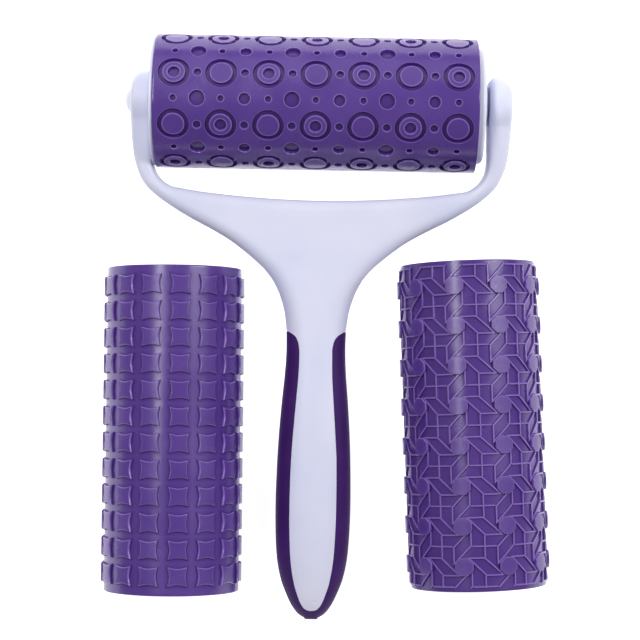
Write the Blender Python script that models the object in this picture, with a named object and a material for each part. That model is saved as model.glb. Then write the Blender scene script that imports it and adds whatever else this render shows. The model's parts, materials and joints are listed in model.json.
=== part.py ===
"""Pattern roller set: a forked handle with a turning core, the sleeve that it
carries and two more sleeves beside it.

The set lies on a table at z = 0.  X runs along the roller, +Y from the butt of
the handle towards the roller, +Z up.  The handle is drawn flat around the
roller's axis, in local coordinates, and then tipped so that its butt rests on
the table as well.
"""
import math

import bmesh
import bpy
import numpy as np
from mathutils import Matrix, Vector

MM = 0.001

# ---- driving dimensions, in millimetres ------------------------------------
GAP = 0.3                   # clearance between touching pieces
SLEEVE_LENGTH = 100.0
SLEEVE_RADIUS = 20.9        # outside of a sleeve's wall
SLEEVE_BORE = 18.3          # radius of the bore
SLEEVE_START = -51.3        # left end of the carried sleeve, along X

AXIS_X = -3.75              # middle of the fork, on the roller's axis
AXIS_Y = 70.75
HANDLE_SLOPE = math.radians(4.9)

FORK_INSIDE = 52.7          # from the middle to an arm's inner face
BOSS_RADIUS = 10.1          # round end of an arm, in side view
BOSS_REACH = 6.0            # how far the round end runs towards the web
INNER_CORNER = 9.6          # radius between the crossbar and an arm
CORNER_CENTRE = 17.8        # of that radius, from the roller's axis
HANDLE_END = 163.4          # from the roller's axis to the butt
GRIP_START = 71.4           # where the soft grip begins at the handle's sides
GRIP_WALL = 1.8             # thickness of the soft grip
SHELL_WALL = 2.2
WINDOW_END = 160.0
PIN_PLACES = [(0.0, -44.0), (0.0, -88.0), (0.0, -138.0)]
PIN_RADIUS = 1.3
PIN_BOSS = 2.9              # radius of the pillar round a pin
PIN_LENGTH = 2.2            # how far a pin reaches into the other half
PIN_ROOT = 1.2              # how deep a pin is rooted in its own half

CORE_RADIUS = 18.0
CORE_WALL = 1.8
FLANGE_RADIUS = 20.3
FLANGE_LEFT = -52.35
FLANGE_WIDTH = 0.75
CAP_END = 51.0              # outer face of the core's right cap
CAP_LIP = 3.8
CAP_ROUNDING = 1.2
CAP_FLOOR = 1.2             # thickness of the cap inside its lip
SHOULDER_RADIUS = 6.3       # of the low ring that runs against the right arm
SHOULDER = 1.3
PLUG_DEPTH = 6.0
PLUG_FLOOR = 2.4
STUB_RADIUS = 3.7
STUB_HOLE = 4.0
STUB_TIP = -61.4            # dome of the left stub, outside the arm
DOME_LENGTH = 2.22
RIGHT_STUB_END = 56.4
LEFT_HOLE = (-70.0, -50.7)  # through the left arm
RIGHT_SOCKET = (50.7, 57.0)

RING_COLUMNS = 7
RING_ROWS = 8
RING_PITCH = 14.5
RING_OUTER = 4.9
RING_SIDES = 8
RING_DEPTH = 1.1
RING_TURN = math.radians(-16.6)     # from the top, towards the handle

PAD_COLUMNS = 15
PAD_ROWS = 12
PAD_PITCH = 8.0
PAD_HEIGHT = 0.95
PAD_LENGTH = 5.9
PAD_ANGLE = math.radians(16.3)
PAD_TURN = math.radians(9.4)        # from the top, towards +X

NUB_COLUMNS = 10
NUB_ROWS = 8
NUB_PITCH = 12.1
NUB_HEIGHT = 1.3
NUB_WIDTH = 5.4
NUB_TURN = math.radians(-15.0)      # from the top, towards +X

SQUARES_PLACE = (-44.05, -103.0)    # middle of the sleeve, from the axis
SQUARES_ANGLE = math.radians(0.6)
STAR_PLACE = (49.4, -99.8)
STAR_ANGLE = math.radians(3.0)

# The right half of the handle's outline seen from above: distance from the
# middle line, and distance from the roller's axis towards the butt.
OUTER_SIDE = [(59.8, 3.0), (59.4, 11.0), (58.6, 17.5), (56.3, 24.0), (52.2, 28.9),
              (47.2, 32.5), (41.0, 36.2), (34.0, 39.8), (28.0, 43.2), (22.8, 47.0),
              (18.2, 50.9), (14.8, 54.6), (12.3, 59.0), (10.3, 65.0), (9.4, 71.4),
              (9.3, 78.5), (9.9, 87.0), (10.7, 96.7), (11.45, 109.4), (11.85, 125.0),
              (11.4, 141.0), (9.6, 150.8), (7.4, 157.0), (5.1, 160.8), (2.1, 162.9)]
ARM_TIP = [(52.7, -6.6), (53.3, -8.8), (54.8, -9.6), (57.0, -8.2), (58.8, -5.2)]
INNER_SIDE = [(0.0, 30.4), (12.0, 30.2), (24.0, 29.5), (36.0, 28.4), (42.5, 27.4)]

# The right edge of the grip's window, from the side of the neck downwards.
WINDOW_SIDE = [(9.4, 71.4), (8.7, 74.2), (6.9, 76.3), (5.4, 79.0), (5.4, 87.0),
               (6.3, 96.7), (7.1, 112.0), (7.35, 126.0), (7.0, 141.0), (5.6, 150.6),
               (3.8, 156.8), (2.1, 159.3)]

# Distance from the roller's axis, and half thickness of the handle there.
DEPTHS = [(BOSS_REACH, 8.1), (10.0, 6.6), (15.0, 5.6), (22.0, 5.3), (45.0, 6.1), (70.0, 7.2),
          (100.0, 8.6), (125.0, 9.1), (142.0, 8.5), (152.0, 7.2), (158.5, 5.5), (HANDLE_END, 3.0)]

# Distance from the axis, how far the rounded edge reaches in there, and the
# share of the half thickness that stands upright at the outline.
EDGES = [(0.0, 1.6, 0.80), (30.0, 2.4, 0.76), (50.0, 4.0, 0.60), (75.0, 8.5, 0.35), (110.0, 11.4, 0.25)]

# Where the handle's faces are divided, so that they can follow its shape.
FORK_LINES = [-6.0, 0.0, 6.0, 12.0, 18.0, 24.0, 32.0]
NECK_LINES = [40.0, 48.0, 58.0, 68.0]
GRIP_LINES = [78.0, 88.0, 98.0, 110.0, 122.0, 134.0, 143.0, 151.0]
GRIP_ACROSS = [-7.0, -3.5, 3.5, 7.0]


def mirrored(half):
    """A closed outline from its right half, which starts or ends at u = 0."""
    left = [(-u, v) for u, v in reversed(half) if u > 1e-6]
    return list(half) + left


def handle_outline():
    """Outer contour of the whole handle, fork and grip."""
    corner = [(FORK_INSIDE - INNER_CORNER * (1.0 - math.sin(a)),
               CORNER_CENTRE + INNER_CORNER * math.cos(a)) for a in np.radians([15, 35, 55, 75, 90])]
    return mirrored(INNER_SIDE + corner + ARM_TIP + OUTER_SIDE + [(0.0, HANDLE_END)])


def white_outline():
    """Part of the handle that stays white: the fork, the neck and the window."""
    whole = handle_outline()
    fork = [(u, v) for u, v in whole[:len(whole) // 2 + 1] if u >= 0.0 and v < GRIP_START]
    return mirrored(fork + WINDOW_SIDE + [(0.0, WINDOW_END)])


def read_table(table, v, column=1):
    """A value from a table, between its rows."""
    return float(np.interp(v, [row[0] for row in table], [row[column] for row in table]))


def half_width(v):
    """Half width of the handle at a distance from the roller's axis."""
    return read_table([(place, width) for width, place in OUTER_SIDE + [(0.0, HANDLE_END)]], v)


def half_depth(v):
    """Half thickness of the handle: a round boss at the tips, then a slim web."""
    if v < BOSS_REACH:
        return math.sqrt(max(BOSS_RADIUS ** 2 - v ** 2, 1.0))
    return read_table(DEPTHS, v)


def distance_to(outline, u, v):
    """Distance from a point to a closed outline."""
    a = np.array(outline)
    b = np.roll(a, -1, axis=0)
    run = b - a
    point = np.array([u, v])
    t = np.clip(((point - a) * run).sum(1) / (run ** 2).sum(1), 0.0, 1.0)
    return float(np.sqrt((((a + run * t[:, None]) - point) ** 2).sum(1)).min())


def surface_height(u, v, outline):
    """Height of the handle's front over its middle plane."""
    flank = read_table(EDGES, v, 2)
    reach = min(distance_to(outline, u, v) / read_table(EDGES, v), 1.0)
    crown = math.sqrt(max(1.0 - (1.0 - reach) ** 2, 0.0))
    return half_depth(v) * (flank + (1.0 - flank) * crown)


def material(name, colour, roughness):
    """A plain plastic."""
    made = bpy.data.materials.get(name) or bpy.data.materials.new(name)
    made.use_nodes = True
    shader = made.node_tree.nodes["Principled BSDF"]
    shader.inputs["Base Color"].default_value = (*colour, 1.0)
    shader.inputs["Roughness"].default_value = roughness
    shader.inputs["Metallic"].default_value = 0.0
    return made


def make_object(name, bm, finish=None, parent=None, place=Matrix.Identity(4)):
    """An object from a mesh drawn in millimetres."""
    bmesh.ops.scale(bm, vec=(MM, MM, MM), verts=bm.verts)
    mesh = bpy.data.meshes.new(name)
    bm.to_mesh(mesh)
    bm.free()
    made = bpy.data.objects.new(name, mesh)
    bpy.context.scene.collection.objects.link(made)
    made.matrix_local = place
    made.parent = parent
    if finish:
        mesh.materials.append(finish)
        mesh.shade_smooth()
        mesh.set_sharp_from_angle(angle=math.radians(30.0))
    else:
        made.hide_render = True
        made.display_type = "WIRE"
    return made


def empty(name, parent, place, turn=(0.0, 0.0, 0.0)):
    """A point that pieces hang from."""
    made = bpy.data.objects.new(name, None)
    bpy.context.scene.collection.objects.link(made)
    made.parent = parent
    made.location = Vector(place) * MM
    made.rotation_euler = turn
    return made


def boolean(target, cutter, operation):
    """Join or cut a solid with another."""
    change = target.modifiers.new(operation.lower(), "BOOLEAN")
    change.operation = operation
    change.solver = "EXACT"
    change.object = cutter


def plate(outline, height, rings, across, along, bottom):
    """A closed solid on an outline: flat below, with its top at height(u, v)."""
    bm = bmesh.new()
    face = bm.faces.new([bm.verts.new((u, -v, 0.0)) for u, v in outline])
    face.normal_update()
    if face.normal.z < 0.0:
        face.normal_flip()
    face.material_index = 1                 # marks the region inside the last ring
    depth = 0.0
    for ring in rings:
        middle = [f for f in bm.faces if f.material_index]
        made = bmesh.ops.inset_region(bm, faces=middle, thickness=ring - depth, use_even_offset=True)
        for border in made["faces"]:
            border.material_index = 0
        depth = ring
    cuts = [((0.0, -v, 0.0), (0.0, 1.0, 0.0)) for v in along]
    cuts += [((u, 0.0, 0.0), (1.0, 0.0, 0.0)) for u in across]
    for point, normal in cuts:
        middle = [f for f in bm.faces if f.material_index]
        edges = {e for f in middle for e in f.edges}
        parts = middle + list(edges) + list({v for f in middle for v in f.verts})
        bmesh.ops.bisect_plane(bm, geom=parts, plane_co=point, plane_no=normal, dist=1e-4)
    bmesh.ops.triangulate(bm, faces=bm.faces)
    top = list(bm.faces)
    rim = [e for e in bm.edges if e.is_boundary]
    wall = bmesh.ops.extrude_edge_only(bm, edges=rim)["geom"]
    for vert in {v for f in top for v in f.verts}:
        vert.co.z = height(vert.co.x, -vert.co.y)
    base = [g for g in wall if isinstance(g, bmesh.types.BMVert)]
    for vert in base:
        vert.co.z = bottom
    low = set(base)
    floor = [e for e in bm.edges if e.is_boundary and e.verts[0] in low and e.verts[1] in low]
    bmesh.ops.triangle_fill(bm, use_beauty=True, edges=floor, normal=(0.0, 0.0, -1.0))
    for piece in bm.faces:
        piece.material_index = 0
    bmesh.ops.recalc_face_normals(bm, faces=bm.faces)
    return bm


def rod(start, end, radius, segments=24):
    """A round bar along X."""
    bm = bmesh.new()
    place = Matrix.Translation(((start + end) / 2.0, 0.0, 0.0)) @ Matrix.Rotation(math.pi / 2.0, 4, "Y")
    bmesh.ops.create_cone(bm, cap_ends=True, segments=segments, radius1=radius, radius2=radius,
                          depth=end - start, matrix=place)
    return bm


def post(x, y, low, high, radius, segments=16):
    """A round bar along Z."""
    bm = bmesh.new()
    bmesh.ops.create_cone(bm, cap_ends=True, segments=segments, radius1=radius, radius2=radius,
                          depth=high - low, matrix=Matrix.Translation((x, y, (low + high) / 2.0)))
    return bm


def turned(profile, segments):
    """A body turned about X from (x, radius) points; one on the axis closes it."""
    bm = bmesh.new()
    loops = []
    for x, radius in profile:
        count = 1 if radius < 1e-6 else segments
        loops.append([bm.verts.new((x, radius * math.sin(2.0 * math.pi * k / segments),
                                    radius * math.cos(2.0 * math.pi * k / segments)))
                      for k in range(count)])
    pairs = list(zip(loops, loops[1:]))
    if profile[0][1] > 1e-6 and profile[-1][1] > 1e-6:
        pairs.append((loops[-1], loops[0]))
    for first, second in pairs:
        for k in range(segments):
            corners = [first[k % len(first)], first[(k + 1) % len(first)],
                       second[(k + 1) % len(second)], second[k % len(second)]]
            bm.faces.new(list(dict.fromkeys(corners)))
    bmesh.ops.recalc_face_normals(bm, faces=bm.faces)
    return bm


def raised_sleeve(columns, rows, pitch, length, width_angle, height, turn):
    """A sleeve about Y with a grid of raised blocks; its middle is at the origin."""
    bm = bmesh.new()
    step = 2.0 * math.pi / columns
    angles = []
    for column in range(columns):
        middle = turn + step * column
        angles += [middle - width_angle / 2.0, middle + width_angle / 2.0]
    edge = pitch * (rows - 1) / 2.0
    places = [-SLEEVE_LENGTH / 2.0]
    for row in range(rows):
        middle = -edge + pitch * row
        places += [middle - length / 2.0, middle + length / 2.0]
    places.append(SLEEVE_LENGTH / 2.0)
    grids = []
    for radius in (SLEEVE_RADIUS, SLEEVE_BORE):
        grids.append([[bm.verts.new((radius * math.sin(a), y, radius * math.cos(a)))
                       for a in angles] for y in places])
    outer, inner = grids
    around = len(angles)
    blocks = []
    for j in range(len(places) - 1):
        for k in range(around):
            n = (k + 1) % around
            face = bm.faces.new((outer[j][k], outer[j][n], outer[j + 1][n], outer[j + 1][k]))
            if j % 2 == 1 and k % 2 == 0:
                blocks.append(face)
    for k in range(around):
        n = (k + 1) % around
        bm.faces.new((inner[0][k], inner[-1][k], inner[-1][n], inner[0][n]))
        bm.faces.new((outer[0][k], inner[0][k], inner[0][n], outer[0][n]))
        bm.faces.new((outer[-1][k], outer[-1][n], inner[-1][n], inner[-1][k]))
    for column in inner[1:-1]:
        for vert in column:
            bm.verts.remove(vert)
    raised = bmesh.ops.extrude_discrete_faces(bm, faces=blocks)["faces"]
    scale = (SLEEVE_RADIUS + height) / SLEEVE_RADIUS
    for face in raised:
        for vert in face.verts:
            vert.co.x *= scale
            vert.co.z *= scale
    bmesh.ops.recalc_face_normals(bm, faces=bm.faces)
    return bm


for old in list(bpy.data.objects):
    bpy.data.objects.remove(old, do_unlink=True)

white_plastic = material("white_plastic", (0.70, 0.71, 0.86), 0.35)
soft_grip = material("soft_grip", (0.058, 0.016, 0.128), 0.60)
purple_sleeve = material("purple_sleeve", (0.105, 0.050, 0.265), 0.38)

tool = empty("tool", None, (AXIS_X, AXIS_Y, SLEEVE_RADIUS))
handle = empty("handle", tool, (0.0, 0.0, 0.0), (HANDLE_SLOPE, 0.0, 0.0))
roller = empty("roller", tool, (0.0, 0.0, 0.0))

OUTLINE = handle_outline()
FRONT = Matrix.Identity(4)
REAR = Matrix.Rotation(math.pi, 4, "Y")


def outer_height(u, v):
    """Front of the handle."""
    return surface_height(u, v, OUTLINE)


def core_outline():
    """Stiff middle of the grip, under the soft layer."""
    line = [(half_width(v) - GRIP_WALL, v) for v in (60.0, 72.0, 84.0, 96.0, 110.0, 126.0, 141.0, 150.0)]
    line += [(5.4, 155.0), (3.2, 158.2)]
    return mirrored([(0.0, 60.0)] + line + [(0.0, 160.0)])


def core_height(u, v):
    """Front of the stiff middle of the grip."""
    return surface_height(u, v, OUTLINE) - GRIP_WALL


def cavity_outline():
    """Hollow inside a half of the handle."""
    line = [(half_width(v) - GRIP_WALL - SHELL_WALL, v)
            for v in (48.0, 56.0, 66.0, 78.0, 92.0, 110.0, 126.0, 141.0)]
    return mirrored([(0.0, 34.5), (30.0, 34.5), (29.0, 38.0)] + line + [(3.6, 150.0), (0.0, 152.5)])


def cavity_height(u, v):
    """Ceiling of the hollow."""
    return half_depth(v) - GRIP_WALL - SHELL_WALL


def shell(name, side, turn):
    """One half of the handle; side is 1 for the front and -1 for the rear."""
    body = make_object(name, plate(white_outline(), outer_height, (0.7, 1.9), GRIP_ACROSS,
                                   FORK_LINES + NECK_LINES + GRIP_LINES, GAP / 2.0),
                       white_plastic, handle, turn)
    core = make_object(name + "_core_cutter", plate(core_outline(), core_height, (0.8,), GRIP_ACROSS,
                                                    [NECK_LINES[-1]] + GRIP_LINES, GAP / 2.0),
                       None, handle, turn)
    boolean(body, core, "UNION")
    hollow = make_object(name + "_hollow_cutter", plate(cavity_outline(), cavity_height, (), (),
                                                        NECK_LINES + GRIP_LINES, -2.0),
                         None, handle, turn)
    boolean(body, hollow, "DIFFERENCE")
    for index, (x, y) in enumerate(PIN_PLACES):
        ceiling = cavity_height(x, -y) + 0.8
        boss = make_object(f"{name}_boss_cutter_{index}", post(x, y, GAP / 2.0, ceiling, PIN_BOSS),
                           None, handle, turn)
        boolean(body, boss, "UNION")
        if side > 0:
            pin = post(x, y, -PIN_LENGTH, PIN_ROOT, PIN_RADIUS)
        else:
            pin = post(x, y, -1.0, PIN_LENGTH + 0.4, PIN_RADIUS + GAP)
        pin = make_object(f"{name}_pin_cutter_{index}", pin, None, handle, turn)
        boolean(body, pin, "UNION" if side > 0 else "DIFFERENCE")
    for index, ends in enumerate((LEFT_HOLE, RIGHT_SOCKET)):
        start, end = sorted((side * ends[0], side * ends[1]))
        hole = make_object(f"{name}_hole_cutter_{index}", rod(start, end, STUB_HOLE), None, handle, turn)
        boolean(body, hole, "DIFFERENCE")


shell("front_shell", 1, FRONT)
shell("rear_shell", -1, REAR)


def grip():
    """Soft layer round the sides and the butt, open at the front and the back."""
    half = [(half_width(v), v) for v in (GRIP_START - 1.0, 75.0, 80.0, 87.0, 96.7, 109.4, 117.0, 125.0,
                                         133.0, 141.0, 146.0, 150.8, 154.0, 157.0)]
    outline = mirrored([(0.0, GRIP_START - 1.0)] + half + OUTER_SIDE[-2:] + [(0.0, HANDLE_END)])
    body = make_object("grip_band", plate(outline, outer_height, (0.7, 1.9), GRIP_ACROSS, GRIP_LINES, -0.5),
                       soft_grip, handle)
    rear = plate(outline, outer_height, (0.7, 1.9), GRIP_ACROSS, GRIP_LINES, -0.5)
    boolean(body, make_object("grip_rear_cutter", rear, None, handle, REAR), "UNION")
    for name, turn in (("grip_front_core_cutter", FRONT), ("grip_rear_core_cutter", REAR)):
        inner = plate(core_outline(), lambda u, v: core_height(u, v) + GAP, (0.8,), GRIP_ACROSS,
                      [NECK_LINES[-1]] + GRIP_LINES, -0.5)
        for vert in inner.verts:
            if abs(vert.co.x) > 0.01:
                vert.co.x += math.copysign(GAP, vert.co.x)
            if vert.co.y < -150.0:
                vert.co.y -= GAP
        boolean(body, make_object(name, inner, None, handle, turn), "DIFFERENCE")
    opening = [(u + GAP, max(v, GRIP_START + GAP)) for u, v in WINDOW_SIDE] + [(0.0, WINDOW_END + GAP)]
    opening = mirrored([(0.0, 60.0), (11.5, 60.0), (11.5, GRIP_START + GAP)] + opening)
    window = plate(opening, lambda u, v: 15.0, (), (), (), -15.0)
    boolean(body, make_object("grip_window_cutter", window, None, handle), "DIFFERENCE")


grip()

# The core: a barrel with a stop flange at its left end, a plug with the left
# stub, and a cap with the right one.
lip_start = CAP_END - CAP_LIP
flange_right = FLANGE_LEFT + FLANGE_WIDTH
bore = CORE_RADIUS - CORE_WALL
make_object("core_barrel", turned([(FLANGE_LEFT, bore), (FLANGE_LEFT, FLANGE_RADIUS),
                                   (flange_right, FLANGE_RADIUS), (flange_right, CORE_RADIUS),
                                   (lip_start - GAP, CORE_RADIUS), (lip_start - GAP, bore)],
                                  24), white_plastic, roller)
spigot = bore - GAP
hollow = spigot - CORE_WALL
plug_start = FLANGE_LEFT + 0.1
plug_end = FLANGE_LEFT + PLUG_DEPTH
dome = [(STUB_TIP + DOME_LENGTH * (1.0 - math.cos(a)), STUB_RADIUS * math.sin(a))
        for a in np.radians([0, 30, 60, 90])]
make_object("left_plug", turned(dome + [(plug_start, STUB_RADIUS), (plug_start, spigot),
                                        (plug_end, spigot), (plug_end, hollow),
                                        (FLANGE_LEFT + PLUG_FLOOR, hollow), (FLANGE_LEFT + PLUG_FLOOR, 0.0)],
                                24), white_plastic, roller)
lip = [(CAP_END - CAP_ROUNDING * (1.0 - math.sin(a)), CORE_RADIUS - CAP_ROUNDING * (1.0 - math.cos(a)))
       for a in np.radians([0, 45, 90])]
make_object("right_cap", turned([(lip_start + CAP_FLOOR, 0.0), (lip_start + CAP_FLOOR, hollow),
                                 (lip_start - PLUG_DEPTH, hollow), (lip_start - PLUG_DEPTH, spigot),
                                 (lip_start, spigot), (lip_start, CORE_RADIUS)] + lip + [
                                     (CAP_END, SHOULDER_RADIUS), (CAP_END + SHOULDER, SHOULDER_RADIUS),
                                     (CAP_END + SHOULDER, STUB_RADIUS), (RIGHT_STUB_END, STUB_RADIUS),
                                     (RIGHT_STUB_END, 0.0)], 24), white_plastic, roller)


def ring_sleeve():
    """The carried sleeve, with rows of round hollows."""
    end = SLEEVE_START + SLEEVE_LENGTH
    body = make_object("circles_sleeve", turned([(SLEEVE_START, SLEEVE_RADIUS), (end, SLEEVE_RADIUS),
                                                 (end, SLEEVE_BORE), (SLEEVE_START, SLEEVE_BORE)], 32),
                       purple_sleeve, roller)
    rings = bmesh.new()
    for row in range(RING_ROWS):
        angle = RING_TURN + 2.0 * math.pi * row / RING_ROWS
        for column in range(RING_COLUMNS):
            x = SLEEVE_START + SLEEVE_LENGTH / 2.0 + RING_PITCH * (column - (RING_COLUMNS - 1) / 2.0)
            ring = turned([(SLEEVE_RADIUS - RING_DEPTH, 0.0), (SLEEVE_RADIUS - RING_DEPTH, RING_OUTER),
                           (SLEEVE_RADIUS + 2.0, RING_OUTER), (SLEEVE_RADIUS + 2.0, 0.0)], RING_SIDES)
            place = (Matrix.Translation((x, 0.0, 0.0)) @ Matrix.Rotation(angle, 4, "X")
                     @ Matrix.Rotation(-math.pi / 2.0, 4, "Y"))
            bmesh.ops.transform(ring, matrix=place, verts=ring.verts)
            made = bpy.data.meshes.new("ring")
            ring.to_mesh(made)
            ring.free()
            rings.from_mesh(made)
            bpy.data.meshes.remove(made)
    boolean(body, make_object("rings_cutter", rings, None, roller), "DIFFERENCE")


ring_sleeve()


def loose_sleeve(name, shape, place, heading):
    """A spare sleeve that lies on the table beside the handle, along Y."""
    rest = -min(vert.co.z for vert in shape.verts)
    spot = empty(name + "_place", None, (AXIS_X + place[0], AXIS_Y + place[1], rest), (0.0, 0.0, heading))
    make_object(name, shape, purple_sleeve, spot)


squares = raised_sleeve(PAD_COLUMNS, PAD_ROWS, PAD_PITCH, PAD_LENGTH, PAD_ANGLE, PAD_HEIGHT, PAD_TURN)
loose_sleeve("squares_sleeve", squares, SQUARES_PLACE, SQUARES_ANGLE)
star = raised_sleeve(NUB_COLUMNS, NUB_ROWS, NUB_PITCH, NUB_WIDTH, NUB_WIDTH / SLEEVE_RADIUS, NUB_HEIGHT,
                     NUB_TURN)
loose_sleeve("star_sleeve", star, STAR_PLACE, STAR_ANGLE)
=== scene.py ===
import json
import math

import bpy
import numpy as np
from mathutils import Matrix, Vector


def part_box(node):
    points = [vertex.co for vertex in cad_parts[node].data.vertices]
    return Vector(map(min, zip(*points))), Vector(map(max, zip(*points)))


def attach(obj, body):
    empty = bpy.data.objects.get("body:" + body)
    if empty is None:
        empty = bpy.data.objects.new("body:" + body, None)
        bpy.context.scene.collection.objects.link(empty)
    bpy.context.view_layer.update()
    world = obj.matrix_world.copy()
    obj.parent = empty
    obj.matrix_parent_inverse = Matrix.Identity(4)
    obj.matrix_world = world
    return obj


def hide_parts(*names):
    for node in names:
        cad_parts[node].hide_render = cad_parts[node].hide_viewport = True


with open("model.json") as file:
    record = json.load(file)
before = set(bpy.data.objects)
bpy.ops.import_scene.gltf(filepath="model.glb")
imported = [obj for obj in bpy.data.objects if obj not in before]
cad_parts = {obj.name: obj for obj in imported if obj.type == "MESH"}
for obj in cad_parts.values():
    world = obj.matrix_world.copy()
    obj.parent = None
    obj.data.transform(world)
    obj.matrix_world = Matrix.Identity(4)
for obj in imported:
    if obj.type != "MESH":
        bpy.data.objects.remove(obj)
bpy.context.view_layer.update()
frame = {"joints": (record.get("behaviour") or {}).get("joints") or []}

bpy.ops.object.select_all(action="DESELECT")

# ---- Core barrel ------------------------------------------------------------
# A white moulded tube that fills the sleeve's bore, with a thin stop flange at
# its left end.  It is turned from its profile about the roller's axis.
MM = 0.001
spin_joint = next(joint for joint in frame["joints"] if joint["name"] == "roller_spin")
AXIS = Vector(spin_joint["pos_m"])          # middle of the fork; the roller's axis runs along X
CORE_RADIUS = 18.0
CORE_BORE = 16.2
BARREL_END = 46.9
FLANGE_LEFT = -52.35
FLANGE_RIGHT = -51.36
FLANGE_RADIUS = 20.3


def noise(nodes, links, place, scale, detail):
    """A noise texture on the piece's own coordinates."""
    made = nodes.new("ShaderNodeTexNoise")
    made.inputs["Scale"].default_value = scale
    made.inputs["Detail"].default_value = detail
    links.new(place.outputs["Object"], made.inputs["Vector"])
    return made


def between(nodes, links, value, low, high):
    """A value stretched to run from low to high."""
    made = nodes.new("ShaderNodeMapRange")
    made.inputs["From Min"].default_value = 0.3
    made.inputs["From Max"].default_value = 0.7
    made.inputs["To Min"].default_value = low
    made.inputs["To Max"].default_value = high
    links.new(value, made.inputs["Value"])
    return made.outputs["Result"]


def plastic(name, dark, light, gloss, cloud_scale, skin_scale, skin_depth):
    """A moulded plastic: two close colours in soft clouds, uneven gloss and a fine skin."""
    material = bpy.data.materials.new(name)
    material.use_nodes = True
    nodes, links = material.node_tree.nodes, material.node_tree.links
    shader = nodes["Principled BSDF"]
    place = nodes.new("ShaderNodeTexCoord")
    cloud = noise(nodes, links, place, cloud_scale, 3.0)
    skin = noise(nodes, links, place, skin_scale, 2.0)
    tint = nodes.new("ShaderNodeValToRGB")
    tint.color_ramp.elements[0].position = 0.32
    tint.color_ramp.elements[0].color = (*dark, 1.0)
    tint.color_ramp.elements[1].position = 0.68
    tint.color_ramp.elements[1].color = (*light, 1.0)
    bump = nodes.new("ShaderNodeBump")
    bump.inputs["Strength"].default_value = 0.35
    bump.inputs["Distance"].default_value = skin_depth
    links.new(cloud.outputs["Fac"], tint.inputs["Fac"])
    links.new(tint.outputs["Color"], shader.inputs["Base Color"])
    links.new(between(nodes, links, cloud.outputs["Fac"], *gloss), shader.inputs["Roughness"])
    links.new(skin.outputs["Fac"], bump.inputs["Height"])
    links.new(bump.outputs["Normal"], shader.inputs["Normal"])
    return material


moulded_white = plastic("moulded_white", (0.655, 0.685, 0.860), (0.735, 0.732, 0.885), (0.34, 0.44),
                        40.0, 2400.0, 0.000012)


def arc(centre_x, centre_r, radius, start, end, steps):
    """Points of a rounded corner in a turned profile."""
    angles = np.radians(np.linspace(start, end, steps))
    return [(centre_x + radius * math.cos(a), centre_r + radius * math.sin(a)) for a in angles]


def turned_piece(name, profile, steps):
    """A piece spun about the roller's axis from (x, radius) points in millimetres."""
    points = [AXIS + Vector((x, 0.0, r)) * MM for x, r in profile]
    bpy.ops.mesh.primitive_plane_add(size=MM, location=(0.0, 0.0, 0.0))
    piece = bpy.context.object
    piece.name = name
    bpy.ops.object.mode_set(mode="EDIT")
    bpy.ops.mesh.merge(type="CENTER")
    bpy.ops.transform.translate(value=points[0])
    for before, after in zip(points, points[1:]):
        bpy.ops.mesh.extrude_vertices_move(TRANSFORM_OT_translate={"value": after - before})
    bpy.ops.mesh.select_all(action="SELECT")
    bpy.ops.mesh.spin(steps=steps, angle=2.0 * math.pi, center=AXIS, axis=(1.0, 0.0, 0.0))
    bpy.ops.mesh.select_all(action="SELECT")
    bpy.ops.mesh.remove_doubles(threshold=0.000005)
    bpy.ops.mesh.normals_make_consistent(inside=False)
    bpy.ops.object.mode_set(mode="OBJECT")
    bpy.ops.object.shade_smooth_by_angle(angle=math.radians(32.0))
    piece.data.materials.append(moulded_white)
    piece.select_set(False)
    return piece


RIM_ROUND = 0.3
BACK_ROUND = 0.2
flange_rim = arc(FLANGE_LEFT + RIM_ROUND, FLANGE_RADIUS - RIM_ROUND, RIM_ROUND, 180.0, 90.0, 5)
flange_back = arc(FLANGE_RIGHT - BACK_ROUND, FLANGE_RADIUS - BACK_ROUND, BACK_ROUND, 90.0, 0.0, 4)
core_barrel = turned_piece("core_barrel_turned", [(FLANGE_LEFT, CORE_BORE)] + flange_rim + flange_back + [
    (FLANGE_RIGHT, CORE_RADIUS), (BARREL_END, CORE_RADIUS), (BARREL_END, CORE_BORE),
    (FLANGE_LEFT, CORE_BORE)], 128)
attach(core_barrel, "roller")
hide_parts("core_barrel")

# ---- Left plug --------------------------------------------------------------
# A white cup pressed into the barrel's left end.  Its stub turns in the left
# arm's hole and ends outside the arm in a smooth dome.
SPIGOT_RADIUS = 15.9
SPIGOT_WALL = 1.8
PLUG_END = -46.35
PLUG_FACE = FLANGE_LEFT + 0.1       # set back a little behind the flange's face
PLUG_FLOOR = FLANGE_LEFT + 2.4
PLUG_CHAMFER = 0.3
STUB_RADIUS = 3.7
STUB_TIP = -61.4
DOME_LENGTH = 2.2
dome = [(STUB_TIP + DOME_LENGTH * (1.0 - math.cos(a)), STUB_RADIUS * math.sin(a))
        for a in np.radians(np.linspace(0.0, 90.0, 12))]
left_plug = turned_piece("left_plug_turned", dome + [
    (PLUG_FACE, STUB_RADIUS), (PLUG_FACE, SPIGOT_RADIUS - PLUG_CHAMFER),
    (PLUG_FACE + PLUG_CHAMFER, SPIGOT_RADIUS), (PLUG_END, SPIGOT_RADIUS),
    (PLUG_END, SPIGOT_RADIUS - SPIGOT_WALL), (PLUG_FLOOR, SPIGOT_RADIUS - SPIGOT_WALL),
    (PLUG_FLOOR, 0.0)], 96)
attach(left_plug, "roller")
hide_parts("left_plug")

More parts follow.
